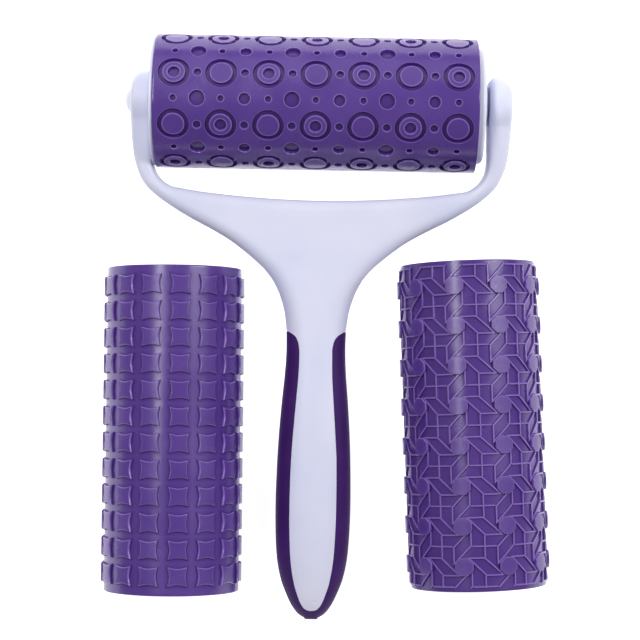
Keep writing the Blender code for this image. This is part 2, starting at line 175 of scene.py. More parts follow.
# ---- Right cap --------------------------------------------------------------
# A white cap pressed into the barrel's right end, with a rounded lip, a low
# shoulder that runs against the right arm, and a stub for the arm's socket.
CAP_START = 47.2
CAP_END = 51.0
CAP_FLOOR = CAP_START + 1.2         # the cup's inside, behind the cap's face
SPIGOT_START = CAP_START - 6.0
CAP_ROUND = 1.3
SHOULDER_RADIUS = 6.3
SHOULDER_END = CAP_END + 1.3
SHOULDER_CHAMFER = 0.2
RIGHT_STUB_END = 56.4
cap_corner = arc(CAP_END - CAP_ROUND, CORE_RADIUS - CAP_ROUND, CAP_ROUND, 90.0, 0.0, 9)
right_cap = turned_piece("right_cap_turned", [
    (CAP_FLOOR, 0.0), (CAP_FLOOR, SPIGOT_RADIUS - SPIGOT_WALL),
    (SPIGOT_START, SPIGOT_RADIUS - SPIGOT_WALL), (SPIGOT_START, SPIGOT_RADIUS),
    (CAP_START, SPIGOT_RADIUS), (CAP_START, CORE_RADIUS)] + cap_corner + [
    (CAP_END, SHOULDER_RADIUS), (SHOULDER_END - SHOULDER_CHAMFER, SHOULDER_RADIUS),
    (SHOULDER_END, SHOULDER_RADIUS - SHOULDER_CHAMFER), (SHOULDER_END, STUB_RADIUS),
    (RIGHT_STUB_END, STUB_RADIUS), (RIGHT_STUB_END, 0.0)], 128)
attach(right_cap, "roller")
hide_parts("right_cap")

# ---- Circles sleeve ---------------------------------------------------------
# A purple moulded sleeve on the core, with sunk rings, discs and dots all round.
# It is laid out flat, one tile for each mark, then rolled up and closed.
SLEEVE_RADIUS = 20.9
SLEEVE_BORE = 18.3
SLEEVE_HALF = 50.0                  # half of a sleeve's length
SLEEVE_START = -51.3                # left end of the carried sleeve
RING_COLUMNS = 7
RING_ROWS = 8
RING_PITCH = 14.5
ROW_PITCH = 2.0 * math.pi * SLEEVE_RADIUS / RING_ROWS
RING_TURN = math.radians(16.6)      # the first row's place, from the top towards +Y
RING_HALF = 5.15                    # half height of a ring's tile
BAND_HALF = ROW_PITCH / 2.0 - RING_HALF
WAIST = 4.6                         # half width of a ring's tile at its corners
SINK = 1.1                          # depth of the marks
EYE_RADIUS = 1.8
ISLAND_RADIUS = 1.7                 # flat middle of a disc with no eye
RING_INNER = 3.5
RING_OUTER = 4.93
SMALL_DOT = 1.2
TINY_DOT = 0.95
WIDE_DISC = 2.4
SLIM_DISC = 1.75

moulded_purple = plastic("moulded_purple", (0.080, 0.034, 0.238), (0.098, 0.044, 0.268), (0.21, 0.30),
                         70.0, 1100.0, 0.00002)


def painted_shade_and_highlight(material, hollow, edge):
    """Paints shade into a plastic's hollows and a highlight onto its raised edges, from a painted-light
    value on the skin's points: below zero painted shade, above zero painted highlight.
    """
    nodes, links = material.node_tree.nodes, material.node_tree.links
    shader = nodes["Principled BSDF"]
    plain = shader.inputs["Base Color"].links[0].from_socket
    painted_light = nodes.new("ShaderNodeAttribute")
    painted_light.attribute_name = "painted_light"
    # Below zero the colour blends towards the painted shade, above zero towards the painted highlight.
    for low, high, shade in ((0.0, -1.0, hollow), (0.0, 1.0, edge)):
        amount = nodes.new("ShaderNodeMapRange")
        amount.inputs["From Min"].default_value = low
        amount.inputs["From Max"].default_value = high
        links.new(painted_light.outputs["Fac"], amount.inputs["Value"])
        mix = nodes.new("ShaderNodeMix")
        mix.data_type = "RGBA"
        mix.inputs["B"].default_value = (*shade, 1.0)
        links.new(amount.outputs["Result"], mix.inputs["Factor"])
        links.new(plain, mix.inputs["A"])
        plain = mix.outputs["Result"]
    links.new(plain, shader.inputs["Base Color"])


# Painted shade colour for the purple's hollows, painted highlight colour for its raised edges.
painted_shade_and_highlight(moulded_purple, (0.054, 0.018, 0.172), (0.215, 0.125, 0.430))


def tile_border(half_wide, half_high, across, up, bulge=0.0):
    """A tile's border from its lower right corner, anticlockwise; its sides may bulge."""
    heights = np.linspace(-half_high, half_high, up + 1)
    widths = half_wide + bulge * (1.0 - (heights / half_high) ** 2)
    right = list(zip(widths, heights))[:-1]
    left = list(zip(-widths, heights))[::-1][:-1]
    top = [(x, half_high) for x in np.linspace(half_wide, -half_wide, across + 1)][:-1]
    low = [(x, -half_high) for x in np.linspace(-half_wide, half_wide, across + 1)][:-1]
    return right + top + left + low


def relief_tile(name, loops, border, shape=None, border_painted_light=0.0):
    """A flat tile with a mark in its middle: loops are (size, height, painted light) from the middle out;
    the border takes its own painted light.
    """
    sides = len(border)
    bpy.ops.mesh.primitive_circle_add(vertices=sides, radius=loops[0][0] * MM, fill_type="TRIFAN",
                                      location=(0.0, 0.0, 0.0))
    tile = bpy.context.object
    tile.name = name
    if shape:
        for vert in tile.data.vertices:
            if vert.co.xy.length > 0.0:
                vert.co.xy *= shape(math.atan2(vert.co.y, vert.co.x))
    bpy.ops.object.mode_set(mode="EDIT")
    bpy.ops.transform.translate(value=(0.0, 0.0, loops[0][1] * MM))
    bpy.ops.mesh.select_all(action="DESELECT")
    bpy.ops.mesh.select_mode(type="EDGE")
    bpy.ops.mesh.select_non_manifold()
    rim_loop = (loops[-1][0] * 1.01, 0.0, border_painted_light)       # once made, it is moved out to the border
    for before, after in zip(loops, loops[1:] + [rim_loop]):
        bpy.ops.mesh.extrude_edges_move(
            TRANSFORM_OT_translate={"value": (0.0, 0.0, (after[1] - before[1]) * MM)})
        grow = after[0] / before[0]
        bpy.ops.transform.resize(value=(grow, grow, 1.0), center_override=(0.0, 0.0, after[1] * MM))
    bpy.ops.object.mode_set(mode="OBJECT")
    start = math.atan2(border[0][1], border[0][0])
    rim = [vert for vert in tile.data.vertices if vert.select]
    rim.sort(key=lambda vert: (math.atan2(vert.co.y, vert.co.x) - start + 0.1) % (2.0 * math.pi))
    for vert, (x, y) in zip(rim, border):
        vert.co.xy = (x * MM, y * MM)
    # Each point takes its loop's painted light: painted shade below zero, painted highlight above zero.
    painted_light_values = [loops[0][2]] * (len(tile.data.vertices) - sides * len(loops))
    for loop in loops[1:] + [rim_loop]:
        painted_light_values += [loop[2]] * sides
    shade = tile.data.attributes.new("painted_light", "FLOAT", "POINT")
    shade.data.foreach_set("value", painted_light_values)
    tile.select_set(False)
    return tile


def lip(bead):
    """From a mark's floor up its wall and over its rounded lip: (inset, height, painted light), with painted
    shade on the floor and wall and a painted highlight on the lip.
    """
    return [(0.16, -SINK, -1.0), (0.09, -0.32, -0.3), (0.03, -0.10, 0.6), (-0.2 * bead, 0.02 * bead, 1.0),
            (-0.6 * bead, 0.07 * bead, 0.8), (-bead, 0.0, 0.0)]


def sunk(outer, inner=0.0, bead=0.45):
    """Loops of a sunk disc, or of a sunk ring, with rounded lips; a disc's floor also gets painted shade."""
    wall = [(outer - inset, height, painted_light) for inset, height, painted_light in lip(bead)]
    wall.append((outer + bead + 0.06, 0.0, 0.0))
    if not inner:
        return [(outer * 0.5, -SINK, -0.7)] + wall
    return [(inner + inset, height, painted_light) for inset, height, painted_light in reversed(lip(0.45))] + wall


def laid_out(name, tiles):
    """Copies tiles to their (x, y) places and joins them into one flat skin."""
    parts = []
    for pattern, x, y in tiles:
        part = pattern.copy()
        part.data = pattern.data.copy()
        part.data.transform(Matrix.Translation((x * MM, y * MM, 0.0)))
        bpy.context.scene.collection.objects.link(part)
        part.select_set(True)
        parts.append(part)
    bpy.context.view_layer.objects.active = parts[0]
    bpy.ops.object.join()
    parts[0].name = name
    for pattern in {pattern for pattern, x, y in tiles}:
        bpy.data.objects.remove(pattern)
    return parts[0]


def rolled(piece, turn):
    """Rolls a flat skin about the X axis; its y = 0 line goes to a turn from the top, towards +Y."""
    flat = np.empty(len(piece.data.vertices) * 3)
    piece.data.vertices.foreach_get("co", flat)
    x, y, z = flat.reshape(-1, 3).T
    angle = y / (SLEEVE_RADIUS * MM) + turn
    reach = SLEEVE_RADIUS * MM + z
    rolled_up = np.stack((x, reach * np.sin(angle), reach * np.cos(angle)), 1)
    piece.data.vertices.foreach_set("co", rolled_up.ravel())
    piece.data.update()


def select_end(piece, side):
    """Selects the open border of a rolled skin at its end on one side of x = 0."""
    mesh = piece.data
    used = np.empty(len(mesh.loops), dtype=int)
    mesh.loops.foreach_get("edge_index", used)
    uses = np.bincount(used, minlength=len(mesh.edges))
    for edge in mesh.edges:
        edge.select = bool(uses[edge.index] == 1 and mesh.vertices[edge.vertices[0]].co.x * side > 0.0)


def closed_sleeve(piece):
    """Closes a rolled skin: square ends with softened edges, joined through the bore."""
    bore_drop = SLEEVE_BORE - SLEEVE_RADIUS
    steps = [(SLEEVE_HALF - 0.7, 0.0), (SLEEVE_HALF - 0.3, 0.0), (SLEEVE_HALF - 0.09, -0.09),
             (SLEEVE_HALF, -0.3), (SLEEVE_HALF, bore_drop + 0.25), (SLEEVE_HALF - 0.25, bore_drop)]
    bpy.ops.object.mode_set(mode="EDIT")
    bpy.ops.mesh.select_mode(type="EDGE")
    bpy.ops.mesh.select_all(action="SELECT")
    bpy.ops.mesh.remove_doubles(threshold=0.00001)
    for side in (1.0, -1.0):
        bpy.ops.mesh.select_all(action="DESELECT")
        bpy.ops.object.mode_set(mode="OBJECT")
        select_end(piece, side)
        bpy.ops.object.mode_set(mode="EDIT")
        radius = SLEEVE_RADIUS
        for reach, drop in steps:
            place = side * reach * MM
            bpy.ops.mesh.extrude_edges_move(TRANSFORM_OT_translate={"value": (side * 0.1 * MM, 0.0, 0.0)})
            bpy.ops.transform.resize(value=(0.0, 1.0, 1.0), center_override=(place, 0.0, 0.0))
            shrink = (SLEEVE_RADIUS + drop) / radius
            bpy.ops.transform.resize(value=(1.0, shrink, shrink), center_override=(place, 0.0, 0.0))
            radius = SLEEVE_RADIUS + drop
    bpy.ops.mesh.select_all(action="DESELECT")
    bpy.ops.mesh.select_non_manifold()
    bpy.ops.mesh.bridge_edge_loops()
    bpy.ops.mesh.select_all(action="SELECT")
    bpy.ops.mesh.normals_make_consistent(inside=False)
    bpy.ops.object.mode_set(mode="OBJECT")


narrow = RING_PITCH / 2.0 - WAIST   # half width of the tiles between the rings
swell = RING_HALF - WAIST           # a ring's tile bulges into the tiles beside it
ring = sunk(RING_OUTER, RING_INNER, 0.12)
ring_border = tile_border(WAIST, RING_HALF, 12, 12, swell)
ringed_eye = relief_tile("ringed_eye", sunk(EYE_RADIUS) + ring, ring_border)
ringed_disc = relief_tile("ringed_disc", [(ISLAND_RADIUS, 0.0, 0.0)] + ring, ring_border)
dot_border = tile_border(narrow, RING_HALF, 6, 12, -swell)
small_dot = relief_tile("small_dot", sunk(SMALL_DOT, 0.0, 0.35), dot_border)
tiny_dot = relief_tile("tiny_dot", sunk(TINY_DOT, 0.0, 0.35), tile_border(WAIST, BAND_HALF, 12, 6))
wide_disc = relief_tile("wide_disc", sunk(WIDE_DISC, 0.0, 0.3), tile_border(narrow, BAND_HALF, 6, 6))
slim_disc = relief_tile("slim_disc", sunk(SLIM_DISC, 0.0, 0.4), tile_border(narrow, BAND_HALF, 6, 6))
tiles = []
for row in range(2 * RING_ROWS):
    for column in range(2 * RING_COLUMNS - 1):
        if row % 2 == 0 and column % 2 == 0:
            mark = ringed_disc if (row + column) // 2 % 2 else ringed_eye
        elif row % 2 == 0:
            mark = small_dot
        elif column % 2 == 0:
            mark = tiny_dot
        else:
            mark = wide_disc if column % 4 == 1 else slim_disc
        tiles.append((mark, (column - RING_COLUMNS + 1) * RING_PITCH / 2.0, -row * ROW_PITCH / 2.0))
circles_sleeve = laid_out("circles_sleeve_moulded", tiles)
rolled(circles_sleeve, RING_TURN)
closed_sleeve(circles_sleeve)
sleeve_middle = AXIS + Vector((SLEEVE_START + SLEEVE_HALF, 0.0, 0.0)) * MM
circles_sleeve.data.transform(Matrix.Translation(sleeve_middle))
bpy.ops.object.shade_smooth_by_angle(angle=math.radians(35.0))
circles_sleeve.data.materials.append(moulded_purple)
circles_sleeve.select_set(False)
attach(circles_sleeve, "roller")
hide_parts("circles_sleeve")

# ---- Handle shells ----------------------------------------------------------
# Two white moulded halves, front and rear, joined at the handle's middle plane.
# They form the fork, the neck and the narrow window in the grip.
HANDLE_SLOPE = math.radians(4.9)    # the handle tips down from the roller to its butt
HANDLE_END = 163.4                  # from the roller's axis to the butt
PARTING = 0.05                      # half of the fine line between the halves
WINDOW_END = 160.0
ARM_INSIDE = 52.7                   # from the middle line to the arms' inner and outer sides
ARM_OUTSIDE = 59.8
ARM_SLIMMING = 0.6                  # how much closer in the left arm's outer side is
BOSS_RADIUS = 10.1                  # round tips of the arms, seen from the side
FORK_CORNER = (43.1, 17.8)          # centre of the corner between crossbar and arm
CORNER_RADIUS = 9.6
GRIP_START = 71.4
SHELL_COLUMNS = 26
RAIL_STEPS = 8                      # points for each span of a long rail
TIP_ROWS = 12.0                     # rows over which the arm's round tip fades out

# Both rails of the right half, paired from the arm's tip to the end of the
# window: distance from the middle line, and from the axis towards the butt.
corner_rail = [(FORK_CORNER[0] + CORNER_RADIUS * math.cos(a), FORK_CORNER[1] + CORNER_RADIUS * math.sin(a))
               for a in np.radians([0.0, 22.5, 45.0, 67.5, 90.0])]
INNER_RAIL = [(ARM_INSIDE, along) for along in (-6.8, 0.0, 7.0, 13.0)] + corner_rail + [
    (36.0, 28.4), (28.0, 29.2), (20.0, 29.8), (12.0, 30.2), (5.0, 30.4), (0.0, 30.45), (0.0, 36.0),
    (0.0, 44.0), (0.0, 53.0), (0.0, 62.0), (0.0, GRIP_START)]
FORK_MIDDLE = 14                    # the inner rail's point where it reaches the middle line
OUTER_RAIL = [(ARM_OUTSIDE, -1.0), (59.75, 4.5), (59.4, 11.0), (58.9, 15.8), (58.1, 19.6), (56.3, 24.0),
              (54.4, 26.7), (51.0, 29.8), (47.2, 32.5), (41.0, 36.2), (34.0, 39.8), (28.0, 43.2),
              (22.8, 47.0), (18.2, 50.9), (15.9, 53.3), (14.0, 55.8), (12.3, 59.0), (11.1, 62.2),
              (10.1, 66.0), (9.4, GRIP_START)]
TIP_BULGE = [INNER_RAIL[0], (53.0, -8.0), (53.9, -8.9), (55.4, -9.2), (57.2, -8.7), (58.6, -7.2),
             (59.5, -4.6), OUTER_RAIL[0]]
GRIP_SIDE = [OUTER_RAIL[-1], (9.3, 78.0), (9.65, 85.0), (10.45, 94.0), (11.15, 103.5), (11.6, 113.0),
             (11.87, 125.0), (11.72, 135.0), (11.15, 143.5), (9.95, 149.8), (8.5, 154.0), (6.6, 158.2),
             (4.7, 161.0), (3.3, 162.2), (2.3, 162.75), (1.9, 163.3)]
WINDOW_SIDE = [OUTER_RAIL[-1], (8.3, 71.9), (7.1, 72.6), (6.2, 73.5), (5.6, 74.8), (5.25, 76.4),
               (5.1, 79.0), (5.25, 85.0), (5.9, 94.0), (6.6, 103.5), (7.1, 113.0), (7.33, 125.0),
               (7.18, 135.0), (6.7, 143.5), (5.7, 150.2), (4.6, 154.2), (3.5, 157.2), (2.4, 159.0),
               (1.3, 159.8)]
# Half of the handle's thickness along its length, from the arms to the butt.
HALF_DEPTHS = [(6.0, 8.1), (12.0, 7.1), (20.0, 6.2), (30.0, 5.7), (45.0, 6.1), (70.0, 7.2), (100.0, 8.6),
               (125.0, 9.1), (142.0, 8.5), (152.0, 7.2), (158.5, 5.5), (HANDLE_END, 3.0)]


def smooth_rail(points, per_span):
    """Points on a smooth curve through the given ones."""
    line = np.array([points[0]] + list(points) + [points[-1]])
    a, b, c, d = (line[k:len(line) - 3 + k, None, :] for k in range(4))
    t = (np.arange(per_span) / per_span)[None, :, None]
    bend = t * (2.0 * a - 5.0 * b + 4.0 * c - d) + t * t * (3.0 * b - 3.0 * c + d - a)
    curve = b + 0.5 * t * (c - a + bend)
    return np.vstack((curve.reshape(-1, 2), line[-1:]))


inner_rail = np.vstack((smooth_rail(INNER_RAIL[:FORK_MIDDLE + 1], RAIL_STEPS),
                        smooth_rail(INNER_RAIL[FORK_MIDDLE:], RAIL_STEPS)[1:]))
outer_rail = smooth_rail(OUTER_RAIL, RAIL_STEPS)
tip = smooth_rail(TIP_BULGE, 6)
grip_rail = smooth_rail(GRIP_SIDE + [(0.0, HANDLE_END)], 6)
window_rail = smooth_rail(WINDOW_SIDE + [(0.0, WINDOW_END)], 5)
depth_rail = smooth_rail(HALF_DEPTHS, RAIL_STEPS)
half_outline = np.vstack((inner_rail[FORK_MIDDLE * RAIL_STEPS:0:-1], tip[:-1], outer_rail[:-1], grip_rail))
outline = np.vstack((half_outline, half_outline[-2:0:-1] * (-1.0, 1.0)))


def edge_distance(points):
    """Distance of plan points from the handle's outline."""
    nearest = np.full(len(points), np.inf)
    for corner, along in zip(outline, np.roll(outline, -1, axis=0) - outline):
        offset = points - corner
        t = np.clip(offset @ along / (along @ along), 0.0, 1.0)
        nearest = np.minimum(nearest, np.linalg.norm(offset - t[:, None] * along, axis=1))
    return nearest


def front_height(points):
    """Height of the handle's front over its middle plane: boss, slim web, then full grip."""
    # flank is the share of the height kept at the outline, soft the width of the rounding.
    v = points[:, 1]
    boss = np.sqrt(np.maximum(BOSS_RADIUS ** 2 - v ** 2, 1.0))
    depth = np.where(v < depth_rail[0, 0], boss, np.interp(v, depth_rail[:, 0], depth_rail[:, 1]))
    flank = np.interp(v, [0.0, 20.0, 34.0, 60.0, 90.0], [0.80, 0.78, 0.52, 0.42, 0.25])
    wide = np.interp(v, grip_rail[:, 1], grip_rail[:, 0])
    soft = np.interp(v, [0.0, 20.0, 34.0, 50.0, 75.0, 110.0], [1.5, 1.9, 3.8, 5.0, 8.5, 11.4])
    soft = np.where(v > GRIP_SIDE[0][1], np.minimum(soft, np.maximum(wide, 2.0)), soft)
    reach = np.minimum(edge_distance(points) / soft, 1.0)
    return depth * (flank + (1.0 - flank) * np.sqrt(1.0 - (1.0 - reach) ** 2))


def lofted_grid(name, rows):
    """A sheet through rows of (x, y, z) points, started as a grid with one vertex for each."""
    stations, columns = rows.shape[:2]
    bpy.ops.mesh.primitive_grid_add(x_subdivisions=columns - 1, y_subdivisions=stations - 1, size=MM,
                                    location=(0.0, 0.0, 0.0))
    sheet = bpy.context.object
    sheet.name = name
    sheet.data.vertices.foreach_set("co", (rows * MM).ravel())
    return sheet


def tipped(piece):
    """Puts a handle piece, drawn about the roller's axis, at its slope in the frame."""
    piece.data.transform(Matrix.Translation(AXIS) @ Matrix.Rotation(HANDLE_SLOPE, 4, "X"))


blend = 0.5 - 0.5 * np.cos(np.pi * np.arange(SHELL_COLUMNS) / (SHELL_COLUMNS - 1.0))
window_middle = window_rail * (0.0, 1.0)
near = np.vstack((inner_rail, window_middle[1:]))[:, None, :]
far = np.vstack((outer_rail, window_rail[1:]))[:, None, :]
plan = near + (far - near) * blend[None, :, None]
bulge_at = np.linspace(0.0, len(tip) - 1.0, SHELL_COLUMNS)
bulge = np.stack([np.interp(bulge_at, range(len(tip)), tip[:, k]) for k in (0, 1)], 1) - plan[0]
fade = np.maximum(1.0 - np.arange(len(plan)) / TIP_ROWS, 0.0) ** 2
plan += bulge[None] * fade[:, None, None]
heights = front_height(plan.reshape(-1, 2)).reshape(plan.shape[:2])
front_shell = lofted_grid("front_shell_moulded", np.stack((plan[:, :, 0], -plan[:, :, 1], heights), 2))
mirror = front_shell.modifiers.new("left half", "MIRROR")
mirror.merge_threshold = 0.00001
bpy.ops.object.modifier_apply(modifier=mirror.name)
for vert in front_shell.data.vertices:      # the left arm is a touch slimmer on its outside
    outside = (-vert.co.x / MM - ARM_INSIDE) / (ARM_OUTSIDE - ARM_INSIDE)
    outside = min(max(outside, 0.0), 1.0)
    vert.co.x += ARM_SLIMMING * MM * outside ** 2 * (3.0 - 2.0 * outside)
bpy.ops.object.mode_set(mode="EDIT")
bpy.ops.mesh.select_all(action="SELECT")
bpy.ops.mesh.remove_doubles(threshold=0.000004)
bpy.ops.mesh.select_all(action="DESELECT")
bpy.ops.mesh.select_mode(type="EDGE")
bpy.ops.mesh.select_non_manifold()
bpy.ops.mesh.extrude_edges_move(TRANSFORM_OT_translate={"value": (0.0, 0.0, -MM)})
bpy.ops.transform.resize(value=(1.0, 1.0, 0.0), center_override=(0.0, 0.0, PARTING * MM))
bpy.ops.mesh.edge_face_add()
bpy.ops.mesh.select_all(action="SELECT")
bpy.ops.mesh.normals_make_consistent(inside=False)
bpy.ops.object.mode_set(mode="OBJECT")
front_shell.select_set(False)

# The left stub passes through its arm; the right one sits in a blind socket.
STUB_HOLE = 4.0
LEFT_HOLE = (-64.0, -50.0)
RIGHT_SOCKET = (50.0, 57.0)
# Round marks that moulding leaves in the front, two from the gate and one from
# an ejector, each as (x, y, radius) from the roller's axis.
DENTS = [(0.0, -39.0, 0.42), (-0.5, -41.2, 0.38), (1.0, -157.0, 0.75)]
DENT_DEPTH = 0.16
PUNCH_LENGTH = 2.0


def bored(piece, radius, length, place, sides, tilt=0.0):
    """Cuts a round hole in a piece, along Z or tilted towards X; place is the hole's middle."""
    bpy.ops.mesh.primitive_cylinder_add(vertices=sides, radius=radius * MM, depth=length * MM,
                                        location=Vector(place) * MM, rotation=(0.0, tilt, 0.0))
    drill = bpy.context.object
    drill.select_set(False)
    bpy.context.view_layer.objects.active = piece
    hole = piece.modifiers.new("hole", "BOOLEAN")
    hole.object = drill
    bpy.ops.object.modifier_apply(modifier=hole.name)
    bpy.data.objects.remove(drill)


for start, end in (LEFT_HOLE, RIGHT_SOCKET):
    bored(front_shell, STUB_HOLE, end - start, ((start + end) / 2.0, 0.0, 0.0), 64, math.pi / 2.0)
rear_shell = front_shell.copy()
rear_shell.data = front_shell.data.copy()
rear_shell.name = "rear_shell_moulded"
bpy.context.scene.collection.objects.link(rear_shell)
rear_shell.data.transform(Matrix.Scale(-1.0, 4, (0.0, 0.0, 1.0)))
for x, y, radius in DENTS:
    face = front_height(np.array([[x, -y]]))[0]
    bored(front_shell, radius, PUNCH_LENGTH, (x, y, face - DENT_DEPTH + PUNCH_LENGTH / 2.0), 24)
for shell, node in ((front_shell, "front_shell"), (rear_shell, "rear_shell")):
    bpy.context.view_layer.objects.active = shell
    shell.select_set(True)
    bpy.ops.object.mode_set(mode="EDIT")
    bpy.ops.mesh.select_all(action="SELECT")
    bpy.ops.mesh.normals_make_consistent(inside=False)
    bpy.ops.object.mode_set(mode="OBJECT")
    bpy.ops.object.shade_smooth_by_angle(angle=math.radians(35.0))
    shell.select_set(False)
    tipped(shell)
    shell.data.materials.append(moulded_white)
    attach(shell, "handle")
    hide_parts(node)

# ---- Grip band --------------------------------------------------------------
# A soft dark purple layer moulded round the grip's sides and its butt.  It is
# one U-shaped strip with a D-shaped section, between the window and the outline.
BAND_GAP = 0.05                     # hairline between the band and the window
BAND_START = 0.4                    # the band's width where it begins, at the top of the grip
BAND_EDGE = 0.18                    # drop of its eased edge beside the window
EDGE_SHARE = 0.12                   # width of that edge, as a share of the first column
BAND_STATIONS = 150
BAND_COLUMNS = 14

soft_grip = plastic("soft_grip", (0.036, 0.006, 0.102), (0.050, 0.010, 0.130), (0.50, 0.62), 60.0, 1500.0,
                    0.00003)
soft_grip.node_tree.nodes["Principled BSDF"].inputs["Specular IOR Level"].default_value = 0.25


def resampled(rail, count):
    """Evenly spaced points along a rail."""
    travel = np.concatenate(([0.0], np.cumsum(np.linalg.norm(np.diff(rail, axis=0), axis=1))))
    spots = np.linspace(0.0, travel[-1], count)
    return np.stack([np.interp(spots, travel, rail[:, k]) for k in (0, 1)], 1)


def both_sides(half):
    """A rail down the right side and back up the left one."""
    return np.vstack((half, half[-2::-1] * (-1.0, 1.0)))


outer = resampled(grip_rail, BAND_STATIONS)
window = resampled(window_rail, BAND_STATIONS)
run = np.gradient(window, axis=0)
run /= np.linalg.norm(run, axis=1)[:, None]
inner = window + np.stack((run[:, 1], -run[:, 0]), 1) * BAND_GAP
inner[-1] = (0.0, WINDOW_END + BAND_GAP)
begin = int(np.argmax(outer[:, 0] - inner[:, 0] > BAND_START))
outer, inner = both_sides(outer[begin:]), both_sides(inner[begin:])
turn = np.pi / 2.0 * np.arange(BAND_COLUMNS) / (BAND_COLUMNS - 1.0)
share = 1.0 - np.sqrt(np.maximum(1.0 - np.cos(turn) ** 2, 0.0))
tread = outer[:, None, :] + (inner - outer)[:, None, :] * share[None, :, None]
tread_top = front_height(tread.reshape(-1, 2)).reshape(tread.shape[:2])
edge = tread[:, :1] + (tread[:, 1:2] - tread[:, :1]) * EDGE_SHARE
across = np.concatenate((inner[:, None, :], edge, tread[:, 1:]), axis=1)
top = np.concatenate((tread_top[:, :1] - BAND_EDGE, tread_top), axis=1)
front = np.stack((across[:, :, 0], -across[:, :, 1], top), 2)
wall = np.stack([front[:, -1] * (1.0, 1.0, level) for level in (0.66, 0.33, 0.0, -0.33, -0.66)], 1)
rear = front[:, ::-1] * (1.0, 1.0, -1.0)
grip_band = lofted_grid("grip_band_moulded", np.concatenate((front, wall, rear, front[:, :1]), axis=1))
bpy.ops.object.mode_set(mode="EDIT")
bpy.ops.mesh.select_all(action="SELECT")
bpy.ops.mesh.remove_doubles(threshold=0.000004)
bpy.ops.mesh.fill_holes(sides=0)
bpy.ops.mesh.select_all(action="SELECT")
bpy.ops.mesh.normals_make_consistent(inside=False)
bpy.ops.object.mode_set(mode="OBJECT")
bpy.ops.object.shade_smooth_by_angle(angle=math.radians(40.0))
grip_band.select_set(False)
tipped(grip_band)
grip_band.data.materials.append(soft_grip)
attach(grip_band, "handle")
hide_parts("grip_band")

# ---- Squares sleeve ---------------------------------------------------------
# A purple moulded sleeve that lies beside the handle, covered with rows of
# raised pads.  Each pad is a square with sides that curve in between its corners.
PAD_AROUND = 15
PAD_ROWS = 12
PAD_PITCH = 8.02
PAD_HALF = 3.1
PAD_HEIGHT = 0.95
PAD_HOLLOW = 0.19                   # how far a side curves in, as a share of its half length
PAD_TURN = math.radians(9.4)        # a column's place, from the top towards +X
# How the loose sleeves lie: turned a little from straight, and their axes' heights.
HEADINGS = {"squares_sleeve": math.radians(0.6), "star_sleeve": math.radians(3.0)}
REST_HEIGHTS = {"squares_sleeve": 21.85, "star_sleeve": 22.0051}


def pad_outline(angle):
    """Size of the pad's outline in a direction, next to a circle's."""
    spread = abs((angle + math.pi / 4.0) % (math.pi / 2.0) - math.pi / 4.0)
    return (1.0 - PAD_HOLLOW * (1.0 - (math.tan(spread)) ** 2)) / math.cos(spread)


def laid_sleeve(piece, node):
    """Lays a loose sleeve along Y where its CAD node lies, and finishes it."""
    low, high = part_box(node)
    place = Vector(((low[0] + high[0]) / 2.0, (low[1] + high[1]) / 2.0, REST_HEIGHTS[node] * MM))
    along_y = Matrix.Rotation(math.pi / 2.0 + HEADINGS[node], 4, "Z")
    piece.data.transform(Matrix.Translation(place) @ along_y)
    piece.data.materials.append(moulded_purple)
    piece.select_set(False)
    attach(piece, node.split("_")[0])
    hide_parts(node)


cell_half = math.pi * SLEEVE_RADIUS / PAD_AROUND
# The pad's bevel gets a painted highlight, its foot and the ground round it painted shade.
pad = relief_tile("pad", [
    (PAD_HALF - 0.60, PAD_HEIGHT, 0.0), (PAD_HALF - 0.50, PAD_HEIGHT, 0.2),
    (PAD_HALF - 0.34, PAD_HEIGHT - 0.05, 0.8), (PAD_HALF - 0.18, PAD_HEIGHT - 0.20, 1.0),
    (PAD_HALF - 0.06, PAD_HEIGHT - 0.50, 0.2), (PAD_HALF, 0.0, -1.0), (PAD_HALF + 0.35, 0.0, -0.4)],
    tile_border(PAD_PITCH / 2.0, cell_half, 4, 4), pad_outline)
places = [(pad, (row - (PAD_ROWS - 1) / 2.0) * PAD_PITCH, 2.0 * cell_half * column)
          for row in range(PAD_ROWS) for column in range(PAD_AROUND)]
squares_sleeve = laid_out("squares_sleeve_moulded", places)
rolled(squares_sleeve, -PAD_TURN)
closed_sleeve(squares_sleeve)
bpy.ops.object.shade_smooth_by_angle(angle=math.radians(40.0))
laid_sleeve(squares_sleeve, "squares_sleeve")

# ---- Star sleeve ------------------------------------------------------------
# A purple moulded sleeve that lies on the handle's other side.  Round studs
# stand in rows, and thin ridges fold between them into pinwheel stars.
NUB_AROUND = 10
NUB_ROWS = 8
NUB_PITCH = 12.1
NUB_RADIUS = 2.95
NUB_HEIGHT = 1.26
NUB_TURN = math.radians(-15.0)
NUB_SIDES = 8
RIDGE_WIDTH = 0.6
RIDGE_HEIGHT = 0.55
RIDGE_CHAMFER = 0.14
RIDGE_ROOT = -0.2                   # a ridge's foot, inside the sleeve's wall
RIDGE_MARGIN = 1.3                  # from the sleeve's end to the ridges' ends
FOOT_PAINTED_SHADE = -0.2                    # painted shade on the ridges' sides
FIELD_PAINTED_SHADE = -0.3                   # painted shade on the ground between the ridges
nub_half = math.pi * SLEEVE_RADIUS / NUB_AROUND


def nub_outline(angle):
    """Size of the stud's eight-sided outline in a direction, next to a circle's."""
    half_side = math.pi / NUB_SIDES
    return math.cos(half_side) / math.cos((angle + half_side) % (2.0 * half_side) - half_side)


def flat_spot(around, down):
    """Flat place of a spot given from a stud's middle: to its right, and towards the sleeve's foot."""
    return -down * MM, -around * MM, RIDGE_ROOT * MM


